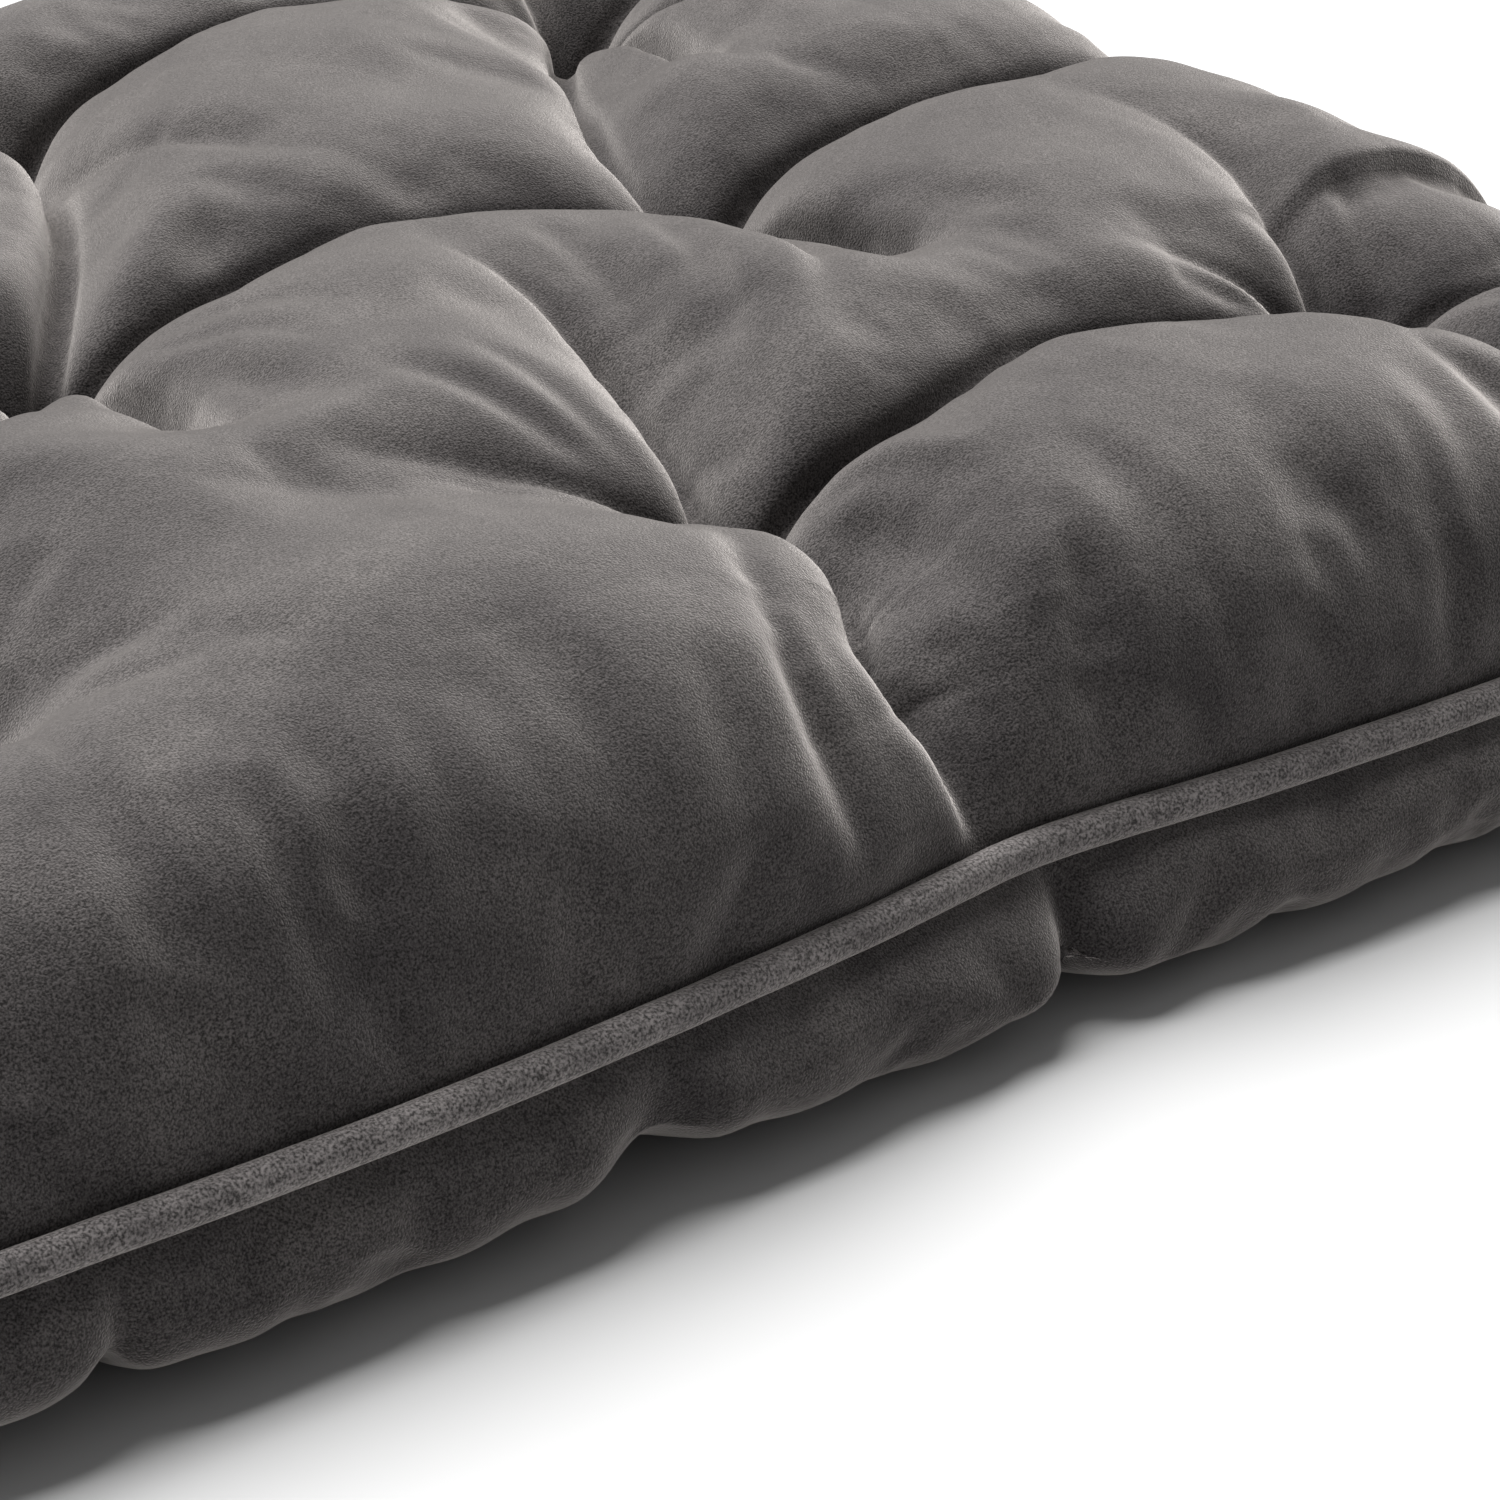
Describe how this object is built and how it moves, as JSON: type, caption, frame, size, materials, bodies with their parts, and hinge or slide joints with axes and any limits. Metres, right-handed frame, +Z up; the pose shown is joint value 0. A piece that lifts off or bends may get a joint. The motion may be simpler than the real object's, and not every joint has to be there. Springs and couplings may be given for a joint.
{
  "type": "floor cushion",
  "caption": "Velvet floor cushion, tufted right through with blind ties, with a piped seam round its middle.",
  "frame": {"origin": "on the floor, under the middle of the cushion", "axes": "+Z up through the cushion's thickness, +X and +Y along its sides, +X along the longer ones"},
  "size_m": [0.79, 0.7, 0.1449],
  "materials": {
    "velvet": "short-pile velvet, charcoal grey with a warm sheen",
    "piping_velvet": "the same velvet cut on the bias",
    "lining": "plain matt cotton lining",
    "fibre": "matt bonded polyester fibre",
    "cotton_cord": "matt twisted cotton",
    "twine": "waxed twine"
  },
  "bodies": {
    "root": {"cover_top": "velvet", "cover_bottom": "velvet", "inner_case_top": "lining", "inner_case_bottom": "lining", "fibre_filling": "fibre", "piping_sleeve": "piping_velvet", "piping_cord": "cotton_cord", "tuft_tie_1": "twine", "tuft_tie_2": "twine", "tuft_tie_3": "twine", "tuft_tie_4": "twine", "tuft_tie_5": "twine", "tuft_tie_6": "twine", "tuft_tie_7": "twine", "tuft_tie_8": "twine"}
  },
  "joints": []
}
